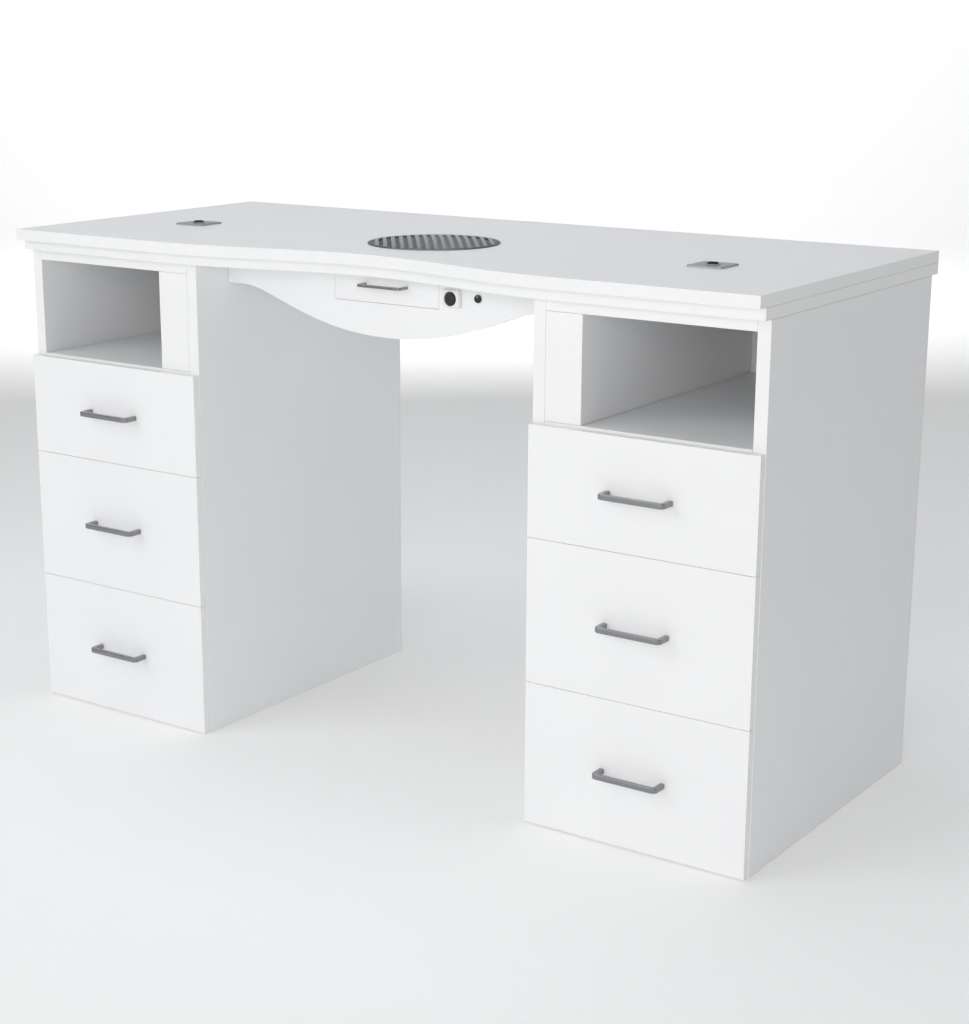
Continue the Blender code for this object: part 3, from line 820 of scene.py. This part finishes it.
BARS = 15
PITCH = 11.7 * MM
grille_low, grille_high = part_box("vent_grille")
grille_middle = (grille_low + grille_high) / 2
GRILLE = Matrix.Translation((grille_middle.x, grille_middle.y, grille_low.z))
bars = grown("grille_bars", crowned_bars(), {
    "Count": BARS, "First": (0, -(BARS - 1) / 2 * PITCH, 0), "Step": (0, PITCH, 0),
    "Radius": 92 * MM, "Crown": 3.6 * MM, "Wide": 5.5 * MM, "Thick": 1.5 * MM, "Material": STEEL,
})
lift = Matrix.Translation((0, 0, 1.1 * MM))
diagonal = GRILLE @ lift @ Matrix.Rotation(GRILLE_TURN, 4, "Z")
grown_piece("grille_bars", bars, diagonal, "carcass", ["vent_grille"], 40)
skirt = [(84, 0.6), (84, -9)]
rim = [(94.9, -0.3), (95, 0.5), (94.3, 1.3), (92.5, 1.7), (87, 1.9), (85.4, 2.0), (84.4, 1.5)]
ring = turned(bmesh.new(), in_mm(rim + skirt), GRILLE, (False, False), 0, 128)
bmesh.ops.solidify(ring, geom=ring.faces[:], thickness=0.6 * MM)
outward(ring)
made_piece("grille_ring", ring, [STEEL], "carcass", (), 50)
sleeve = [(83.2, -36), (83.2, -0.9), (83.0, -0.6), (82.6, -0.6), (82.4, -0.9), (82.4, -36)]
bm = turned(bmesh.new(), in_mm(sleeve), GRILLE, (False, False), 0, 96)
outward(bm)
made_piece("duct_sleeve", bm, [WHITE_ABS], "carcass", (), 40)
print("grille bars:", BARS)

# %% [markdown]
# ## Switch and speed knob
#
# The switch sits in a moulded block with soft corners. Its rocker is a round plug with
# two faces that meet in an upright ridge, inside a thin raised lip. The knob beside it
# is fluted all round, which takes one loft whose every second point is drawn in, and a
# pale line is moulded on its cap to show where it stands.

# %% Block, rocker and knob
def facing_front(node):
    """A matrix that stands Z-up parts on the front, with their tops towards -Y."""
    low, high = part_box(node)
    place = Matrix.Translation(((low.x + high.x) / 2, high.y, (low.z + high.z) / 2))
    return place @ Matrix.Rotation(math.pi / 2, 4, "X")


def switch_block():
    low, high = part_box("switch_block")
    size = high - low
    deep = size.y
    outline = rounded(size.x / 2, size.z / 2, 2.5 * MM, 0, 6, 8)
    rings = [outline]
    for inset, drop in ((0, 1.4), (0.2, 0.7), (0.6, 0.2), (1.3, 0)):
        inset *= MM
        rings.append(
            rounded(size.x / 2 - inset, size.z / 2 - inset, 2.5 * MM - inset, deep - drop * MM, 6, 8)
        )
    for radius, height in ((10.7, 0), (10.5, 0.4), (10.2, 0.5), (9.9, 0.2), (9.7, -0.3), (9.7, -6.6)):
        rings.append(rounder(outline, radius * MM, deep + height * MM))
    bm = loft(bmesh.new(), rings, facing_front("switch_block"), (True, True), 0)
    return made_piece(
        "switch_housing", bm, [WHITE_ABS], "carcass", ["switch_block"], 40
    )


switch_block()
rocker = ease(solid_of("switch_rocker"), 0.5 * MM, 3, 8)
made_piece("switch_paddle", rocker, [BLACK_ABS], "rocker", ["switch_rocker"], 25)


def fluted_knob():
    flutes = 24
    low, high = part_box("speed_knob")
    radius, long = (high.x - low.x) / 2, high.y - low.y
    steps = flutes * 6
    rings = []
    for share, height, depth in ((1, 0.1, 0), (1, 0.5, 0), (1, 0.6, 1), (0.98, long / MM - 0.7, 1),
                                 (0.93, long / MM - 0.25, 0.4), (0.84, long / MM, 0)):
        ring = []
        for i in range(steps):
            turn = math.tau * i / steps
            r = radius * share - depth * 0.22 * MM * (1 + math.cos(flutes * turn))
            ring.append((r * math.cos(turn), r * math.sin(turn), height * MM))
        rings.append(ring)
    bm = loft(bmesh.new(), rings, facing_front("speed_knob"), (True, True), 0)
    middle = Vector(((low.x + high.x) / 2, low.y, (low.z + high.z) / 2))
    line = [middle + Vector(corner) * MM for corner in ((-0.3, -0.2, 1.4), (0.3, 0.1, 4.2))]
    plank(bm, *line, 0.1 * MM, 1)
    return made_piece(
        "fluted_speed_knob", bm, [BLACK_ABS, WHITE_ABS], "knob", ["speed_knob"], 35
    )


fluted_knob()
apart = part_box("speed_knob")[0].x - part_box("switch_block")[1].x
print("switch and knob are", round(apart / MM), "mm apart")

# %% [markdown]
# ## Screws
#
# Every screw on the table is one cross-recessed head, made in a few sizes. A boolean cuts
# the recess, the head is turned to look out of its board, and a tree copies it to its
# points. Each copy is turned by chance, as no two screws stop at the same angle.

# %% Screws
def screw_part(name, radius, dome, facing):
    """A cross-recessed head that looks along +X, -X, +Y, -Y or -Z."""
    steps = 24
    bm = bmesh.new()
    turned(bm, [(radius, 0), (radius, 0.25 * MM), (radius * 0.86, dome), (radius * 0.45, dome * 1.25)],
           Matrix(), (True, True), 0, steps)
    outward(bm)
    head = shown(name, mesh_of(name, bm))
    cross = bmesh.new()
    for wide, tall in ((0.22, 1.1), (1.1, 0.22)):
        size = Matrix.Diagonal((radius * wide, radius * tall, 2 * dome, 1))
        bmesh.ops.create_cube(cross, size=1.0, matrix=Matrix.Translation((0, 0, dome * 1.3)) @ size)
    tool = shown(name + "_cross", mesh_of("cross", cross))
    cut = head.modifiers.new("recess", "BOOLEAN")
    cut.operation = "DIFFERENCE"
    cut.use_self = True
    cut.object = tool
    mesh = real_mesh(head)
    bpy.data.objects.remove(head)
    bpy.data.objects.remove(tool)
    mesh.transform(Vector(facing).to_track_quat("Z", "Y").to_matrix().to_4x4())
    part = shown(name, mesh)
    part.hide_render = True
    return part


SCREW_HEADS = {}


def screws(name, points, facing, body, radius=3.6 * MM, dome=0.7 * MM):
    """A screw head at each point, all looking one way and each turned by chance."""
    key = (facing, radius, dome)
    if key not in SCREW_HEADS:
        SCREW_HEADS[key] = screw_part(f"screw_head_{len(SCREW_HEADS)}", radius, dome, facing)
    mesh = grown(name, ON_POINTS, {
        "Part": SCREW_HEADS[key], "Axis": facing, "Most_Turn": math.tau, "Seed": SEED,
        "Material": NICKEL,
    }, points)
    return grown_piece(name, mesh, Matrix(), body, (), 30)


print("screw helper ready")

# %% [markdown]
# ## Drawer boxes
#
# A drawer box is four 10 mm boards and a thin hardboard floor that slides in a groove.
# Countersunk screws join the corners, and two pan heads inside the front hold the handle.

# %% Boards, floors and screws of the drawers
WALL = 10 * MM
GROOVE = 4 * MM
FLOOR_UP = 6.5 * MM
CORNER_SCREW_IN = 22 * MM


def drawer_box(name):
    body = "drawer_" + name
    low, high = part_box("drawer_box_" + name)
    bm = bmesh.new()
    inner_low, inner_high = low.x + WALL, high.x - WALL
    for x0, x1 in ((low.x, inner_low), (inner_high, high.x)):
        plank(bm, (x0, low.y, low.z), (x1, high.y, high.z), 0.8 * MM, 0)
    for y0, y1 in ((low.y, low.y + WALL), (high.y - WALL, high.y)):
        plank(bm, (inner_low, y0, low.z), (inner_high, y1, high.z - 0.6 * MM), 0.8 * MM, 0)
    plank(bm, (inner_low - GROOVE, low.y + WALL - GROOVE, low.z + FLOOR_UP),
          (inner_high + GROOVE, high.y - WALL + GROOVE, low.z + WALL), 0.2 * MM, 1)
    made_piece(f"drawer_tub_{name}", bm, [MELAMINE, HARDBOARD], body,
               ["drawer_box_" + name])
    heights = [low.z + CORNER_SCREW_IN, high.z - CORNER_SCREW_IN]
    for x, out in ((low.x, -1), (high.x, 1)):
        corners = [(x, y, z) for y in (low.y + WALL / 2, high.y - WALL / 2) for z in heights]
        screws(f"corner_screws_{name}_{out}", corners, (out, 0, 0), body,
               3.2 * MM, 0.3 * MM)
    grip_low, grip_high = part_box("handle_" + name)
    foot = (grip_high.z - grip_low.z) / 2
    feet = [(x, low.y + WALL, grip_low.z + foot) for x in (grip_low.x + foot, grip_high.x - foot)]
    screws(f"handle_screws_{name}", feet, (0, 1, 0), body, 4 * MM, 1.6 * MM)


for drawer in DRAWERS:
    drawer_box(drawer)
print("drawers:", len(DRAWERS))

# %% [markdown]
# ## Drawer slides
#
# Each slide is two channels rolled from 1.2 mm strip. The wider one is screwed to the
# cabinet and curls over a row of 4 mm balls above and below. The narrower one rides
# between the rows on the drawer. A channel is a path across its section, given the
# strip's thickness and drawn out along the slide.

# %% Channels, balls and their screws
def channel(bm, path, thick, start, end, place):
    """A strip bent along a path of (out, up) points, drawn out from start to end along Y."""
    outer, inner = [], []
    for i, here in enumerate(path):
        along = Vector(path[min(i + 1, len(path) - 1)]) - Vector(path[max(i - 1, 0)])
        aside = Vector((-along.y, along.x)).normalized() * thick / 2
        outer.append(Vector(here) + aside)
        inner.append(Vector(here) - aside)
    outline = outer + inner[::-1]
    rings = [[(p.x, y, p.y) for p in outline] for y in (start, end)]
    loft(bm, rings, place, (True, True))
    return bm


def bent(points, radius, steps=4):
    """A path of (out, up) points with its inner corners rounded."""
    path = [Vector(points[0])]
    for before, corner, after in zip(points, points[1:], points[2:]):
        corner = Vector(corner)
        start = corner + (Vector(before) - corner).normalized() * radius
        end = corner + (Vector(after) - corner).normalized() * radius
        for i in range(steps + 1):
            t = i / steps
            path.append(start * (1 - t) ** 2 + corner * 2 * t * (1 - t) + end * t**2)
    path.append(Vector(points[-1]))
    return [tuple(p * MM) for p in path]


WIDE_CHANNEL = bent([(8.9, 17), (8.9, 20.4), (0.9, 20.4), (0.9, -20.4), (8.9, -20.4), (8.9, -17)], 2)
SLIM_CHANNEL = bent([(6.2, 13), (6.2, 15), (11.8, 15), (11.8, -15), (6.2, -15), (6.2, -13)], 1.6)
STRIP = 1.2 * MM
BALLS = 14
BALL_RADIUS = 2 * MM
BALL_PITCH = 5.4
BALL_ROW = 17.7
CAGE = ((2.6, 4, -18), (3.1, 82, 18))
bm = bmesh.new()
bmesh.ops.create_icosphere(bm, subdivisions=2, radius=BALL_RADIUS)
BALL = shown("ball", mesh_of("ball", bm))


def slide(side, level, where):
    node = f"rail_{side}_{level}_{where}"
    low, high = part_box(node)
    towards = SIDES[side] * (1 if where == "inner" else -1)
    panel = low.x if towards > 0 else high.x
    middle = (low.z + high.z) / 2
    place = Matrix.Translation((panel, 0, middle)) @ Matrix.Diagonal((towards, 1, 1, 1))
    bm = channel(bmesh.new(), WIDE_CHANNEL, STRIP, low.y, high.y, place)
    cage = [place @ (Vector(corner) * MM + Vector((0, low.y, 0))) for corner in CAGE]
    plank(bm, *cage, 0.1 * MM)
    outward(bm)
    made_piece(node + "_cabinet_channel", bm, [ZINC], "carcass", [node], 40)
    spots = [place @ Vector((5 * MM, low.y + (8 + BALL_PITCH * i) * MM, row * BALL_ROW * MM))
             for row in (-1, 1) for i in range(BALLS)]
    balls = grown(node + "_balls", ON_POINTS, {
        "Part": BALL, "Axis": (0, 0, 1), "Most_Turn": 0.0, "Seed": SEED, "Material": ZINC,
    }, spots)
    grown_piece(node + "_balls", balls, Matrix(), "carcass", (), 60)
    along = (low.y + 100 * MM, low.y + 240 * MM, high.y - 30 * MM)
    holes = [place @ Vector((1.5 * MM, y, 0)) for y in along]
    screws(node + "_screws", holes, (towards, 0, 0), "carcass", 3.6 * MM, 1.0 * MM)
    bm = channel(bmesh.new(), SLIM_CHANNEL, STRIP, low.y + MM, high.y - 4 * MM, place)
    outward(bm)
    body = f"drawer_{side}_{level}"
    made_piece(node + "_drawer_channel", bm, [ZINC], body, (), 40)


for side in SIDES:
    for level in LEVELS:
        for where in ("inner", "outer"):
            slide(side, level, where)
bpy.data.objects.remove(BALL)
print("slides:", len(DRAWERS) * 2, "with", BALLS * 2, "balls each")

# %% [markdown]
# ## Dust collector
#
# Under the grille sits the collector: a moulded bay for the filter tray, with a round
# can below it for the fan. Air leaves through eight holes, behind a wire guard that
# keeps fingers out. The guard is one tree: rings about the axis, and spokes across.
# The motor stands on the can's floor, inside the ring of holes.

# %% Housing, guard and motor
def wire_guard():
    tree, given = new_tree("wire_guard", {
        "Rings": "Int", "Inner": "Float", "Step": "Float", "Spokes": "Int", "Wire": "Float",
        "Material": "Material",
    })
    index = geo(tree, "InputIndex")
    lines = geo(tree, "MeshLine", {"Count": given["Rings"], "Offset": (0, 0, 0)})
    grow = sum_node(tree, "MULTIPLY_ADD", index, given["Step"], given["Inner"])
    hoop = geo(tree, "CurvePrimitiveCircle", {"Resolution": 72, "Radius": 1.0})
    hoops = geo(tree, "InstanceOnPoints", {"Points": lines, "Instance": hoop, "Scale": grow})
    steps = sum_node(tree, "SUBTRACT", given["Rings"], 1.0)
    reach = sum_node(tree, "MULTIPLY_ADD", steps, given["Step"], given["Inner"])
    root = vector_of(tree, X=given["Inner"], Z=given["Wire"])
    tip = vector_of(tree, X=reach, Z=given["Wire"])
    spoke = geo(tree, "CurvePrimitiveLine", {"Start": root, "End": tip})
    both = joined(tree, hoops, around_z(tree, spoke, index, given["Spokes"]))
    real = geo(tree, "RealizeInstances", {"Geometry": both})
    half = sum_node(tree, "MULTIPLY", given["Wire"], 0.5)
    section = geo(tree, "CurvePrimitiveCircle", {"Resolution": 8, "Radius": half})
    solid = geo(tree, "CurveToMesh", {"Curve": real, "Profile Curve": section, "Fill Caps": True})
    close_tree(tree, solid, given["Material"])
    return tree


housing_low, housing_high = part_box("collector_housing")
AXIS = Matrix.Translation((grille_middle.x, grille_middle.y, housing_low.z))
housing = ease(solid_of("collector_housing"), 0.7 * MM, 2, 50)
TAB_LONG = 14
TAB_HALF = 8 * MM
TAB_INSET = 30 * MM
tabs = []
tab_under = housing_high.z - 3 * MM
for x in (housing_low.x, housing_high.x):
    out = math.copysign(MM, x)
    for y in (housing_low.y + TAB_INSET, housing_high.y - TAB_INSET):
        plank(housing, (x - out, y - TAB_HALF, tab_under),
              (x + TAB_LONG * out, y + TAB_HALF, housing_high.z), 0.6 * MM)
        tabs.append((x + 0.55 * TAB_LONG * out, y, tab_under))
made_piece("collector_moulding", housing, [WHITE_ABS], "carcass",
           ["collector_housing"], 30)
screws("collector_screws", tabs, (0, 0, -1), "carcass", 3.8 * MM, 1.4 * MM)
guard = grown("exhaust_guard", wire_guard(), {
    "Rings": 5, "Inner": 18 * MM, "Step": 8.5 * MM, "Spokes": 8, "Wire": 1.6 * MM, "Material": NICKEL,
})
under_can = AXIS @ Matrix.Translation((0, 0, -2.4 * MM))
grown_piece("exhaust_guard", guard, under_can, "carcass", (), 50)
motor = [(19, 4.2), (19.5, 4.8), (19.5, 11.5), (18.6, 12.6), (7, 12.9), (6.5, 13.3), (2.5, 13.3)]
bm = turned(bmesh.new(), in_mm(motor), AXIS, (True, True), 0, 48)
made_piece("fan_motor", bm, [NYLON], "carcass", (), 40)
print("collector hangs on", len(tabs), "tabs")

# %% [markdown]
# ## The fan
#
# A fan's blade is cambered and twisted. It is steeper at the hub than at the tip, because
# the tip moves faster through the air. One blade is skinned from a grid of points, and
# a tree copies it around the hub.

# %% Blades and hub
ROOT_PITCH, TIP_PITCH = 40, 26
CAMBER = 1.8 * MM


def fan_blade(root, tip, chord):
    """A cambered blade along +X, twisted from a steep root to a flatter tip."""
    bm = bmesh.new()
    rows, columns = 10, 9
    grid = []
    for i in range(rows + 1):
        share = i / rows
        pitch = math.radians(ROOT_PITCH + (TIP_PITCH - ROOT_PITCH) * share)
        row = []
        for k in range(columns + 1):
            along = (k / columns - 0.5) * chord * (0.85 + 0.15 * share)
            camber = CAMBER * (1 - (2 * k / columns - 1) ** 2)
            y = along * math.cos(pitch) - camber * math.sin(pitch)
            z = along * math.sin(pitch) + camber * math.cos(pitch)
            radius = root + (tip - root) * share - 2 * MM * share * (2 * k / columns - 1) ** 4
            row.append(bm.verts.new((radius, y, z)))
        grid.append(row)
    for a, b in zip(grid, grid[1:]):
        for k in range(columns):
            bm.faces.new((a[k], b[k], b[k + 1], a[k + 1]))
    bmesh.ops.solidify(bm, geom=bm.faces[:], thickness=1.4 * MM)
    outward(bm)
    return bm


BLADES = 7
fan_low, fan_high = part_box("fan_impeller")
fan_middle = (fan_low.z + fan_high.z) / 2
SHAFT = Matrix.Translation((grille_middle.x, grille_middle.y, fan_middle))
blade = shown("blade", mesh_of("blade", fan_blade(17 * MM, 53 * MM, 22 * MM)))
blades = grown("fan_blades", RING, {"Part": blade, "Count": BLADES, "Material": NYLON})
bpy.data.objects.remove(blade)
grown_piece("fan_blades", blades, SHAFT, "fan", ["fan_impeller"], 40)
hub = [(18.5, -10), (20, -9), (20, 5), (19, 8), (16, 9.6), (6, 10), (5, 9.2)]
bm = turned(bmesh.new(), in_mm(hub), SHAFT, (True, True), 0, 64)
made_piece("fan_hub", bm, [NYLON], "fan", (), 35)
print("fan blades:", BLADES)

# %% [markdown]
# ## Filter tray
#
# The tray is folded from zinc-plated sheet. Its floor is punched: a tree copies a round
# hole over a grid, keeps those inside the round opening, and fills the rest.
# On the floor lies a pad of open-cell foam. A cut foam block has slightly soft edges
# and faces that are never quite flat, so it is cut finer and pushed about by noise.

# %% Folded tray, punched floor and foam pad
def punched_disc():
    tree, given = new_tree("punched_disc", {
        "Radius": "Float", "Hole": "Float", "Across": "Int", "Material": "Material",
    })
    size = sum_node(tree, "MULTIPLY", given["Radius"], 2.0)
    spots = geo(tree, "MeshGrid", {
        "Size X": size, "Size Y": size, "Vertices X": given["Across"], "Vertices Y": given["Across"],
    })
    margin = sum_node(tree, "MULTIPLY", given["Hole"], 1.8)
    reach = sum_node(tree, "SUBTRACT", given["Radius"], margin)
    kept = sum_node(tree, "LESS_THAN", distance_out(tree, geo(tree, "InputPosition")), reach)
    hole = geo(tree, "CurvePrimitiveCircle", {"Resolution": 16, "Radius": given["Hole"]})
    holes = geo(tree, "InstanceOnPoints", {"Points": spots, "Selection": kept, "Instance": hole})
    edge = geo(tree, "CurvePrimitiveCircle", {"Resolution": 96, "Radius": given["Radius"]})
    real = geo(tree, "RealizeInstances", {"Geometry": joined(tree, holes, edge)})
    close_tree(tree, geo(tree, "FillCurve", {"Curve": real}), given["Material"])
    return tree


tray = ease(solid_of("tray_box"), 0.5 * MM, 2, 50)
made_piece("folded_tray", tray, [ZINC], "filter_tray", ["tray_box"], 30)
tray_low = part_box("tray_box")[0]
FLOOR_RADIUS = 55.3
ACROSS = 13
disc = grown("punched_floor", punched_disc(), {
    "Radius": FLOOR_RADIUS * MM, "Hole": 3 * MM, "Across": ACROSS, "Material": ZINC,
}, (), 1 * MM)
seat = Matrix.Translation((grille_middle.x, grille_middle.y, tray_low.z + 1.5 * MM))
grown_piece("punched_floor", disc, seat, "filter_tray", (), 30)


def foam_pad():
    low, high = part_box("filter_pad")
    bm = plank(bmesh.new(), low, high, 2 * MM)
    long_edges = [e for e in bm.edges if e.calc_length() > 10 * MM]
    bmesh.ops.subdivide_edges(bm, edges=long_edges, cuts=23, use_grid_fill=True)
    for vert in bm.verts:
        vert.co += noise.noise_vector(vert.co / (14 * MM)) * 0.35 * MM
    pad = made_piece("foam_filter_pad", bm, [FOAM], "filter_tray", ["filter_pad"], 60)
    return pad


foam_pad()
print("tray floor pitch, mm:", round(2 * FLOOR_RADIUS / (ACROSS - 1), 1))

# %% [markdown]
# ## Mains inlet and the back
#
# The inlet is a moulded socket with two blades in its pocket and a flange screwed to
# the housing. At the back, screws go through the panels into the shelf and the bottom,
# and an angle at each end ties the apron to the pedestals.

# %% Inlet, back screws and apron angles
ANGLE_LEG = 24 * MM
ANGLE_WIDE = 16 * MM
ANGLE_THICK = 1.5 * MM
ANGLE_DOWN = 26 * MM
ANGLE_SCREW = 16 * MM
inlet_low, inlet_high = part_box("power_inlet")
inlet = ease(solid_of("power_inlet"), 0.8 * MM, 3, 50)
plank(inlet, (inlet_low.x - 7 * MM, inlet_low.y, inlet_low.z + 3 * MM),
      (inlet_high.x + 7 * MM, inlet_low.y + 2.5 * MM, inlet_high.z - 3 * MM), 0.6 * MM)
inlet_x, inlet_z = (inlet_low.x + inlet_high.x) / 2, (inlet_low.z + inlet_high.z) / 2
for offset in (-4.3, 4.3):
    plank(inlet, (inlet_x + (offset - 1.2) * MM, inlet_low.y + 2 * MM, inlet_z - 2.2 * MM),
          (inlet_x + (offset + 1.2) * MM, inlet_high.y - 2 * MM, inlet_z + 2.2 * MM), 0.5 * MM, 1)
made_piece("inlet_moulding", inlet, [BLACK_ABS, NICKEL], "carcass",
           ["power_inlet"], 35)
ears = [(x, inlet_low.y + 2.5 * MM, inlet_z) for x in (inlet_low.x - 3.6 * MM, inlet_high.x + 3.6 * MM)]
screws("inlet_screws", ears, (0, 1, 0), "carcass", 2.4 * MM, 1.0 * MM)
for side in SIDES:
    low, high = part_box("back_panel_" + side)
    shelf_low, shelf_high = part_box("cubby_shelf_" + side)
    rows = (low.z + 8 * MM, (shelf_low.z + shelf_high.z) / 2, high.z - 8 * MM)
    columns = [low.x + 20 * MM, (low.x + high.x) / 2, high.x - 20 * MM]
    spots = [(x, high.y, z) for x in columns for z in rows]
    screws(f"back_screws_{side}", spots, (0, 1, 0), "carcass", 3.6 * MM, 0.35 * MM)
    inside_low, inside_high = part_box("side_inner_" + side)
    apron_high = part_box("apron_panel")[1]
    sign = SIDES[side]
    wall = inside_low.x if sign > 0 else inside_high.x
    low_z = apron_high.z - ANGLE_DOWN
    top_z = low_z + ANGLE_WIDE
    middle_z = low_z + ANGLE_WIDE / 2
    face = apron_high.y
    angle = bmesh.new()
    for across, deep in ((ANGLE_LEG, ANGLE_THICK), (ANGLE_THICK, ANGLE_LEG)):
        plank(angle, (wall - sign * across, face, low_z), (wall, face + deep, top_z))
    made_piece(f"apron_angle_{side}", angle, [ZINC], "carcass", (), 30)
    on_apron = (wall - sign * ANGLE_SCREW, face + ANGLE_THICK, middle_z)
    on_wall = (wall - sign * ANGLE_THICK, face + ANGLE_SCREW, middle_z)
    for name, spot, facing in (("angle_screws_", on_apron, (0, 1, 0)),
                               ("angle_side_screws_", on_wall, (-sign, 0, 0))):
        screws(name + side, [spot], facing, "carcass", 3 * MM, 1 * MM)
for head in SCREW_HEADS.values():
    bpy.data.objects.remove(head)
print("screw heads of", len(SCREW_HEADS), "kinds")
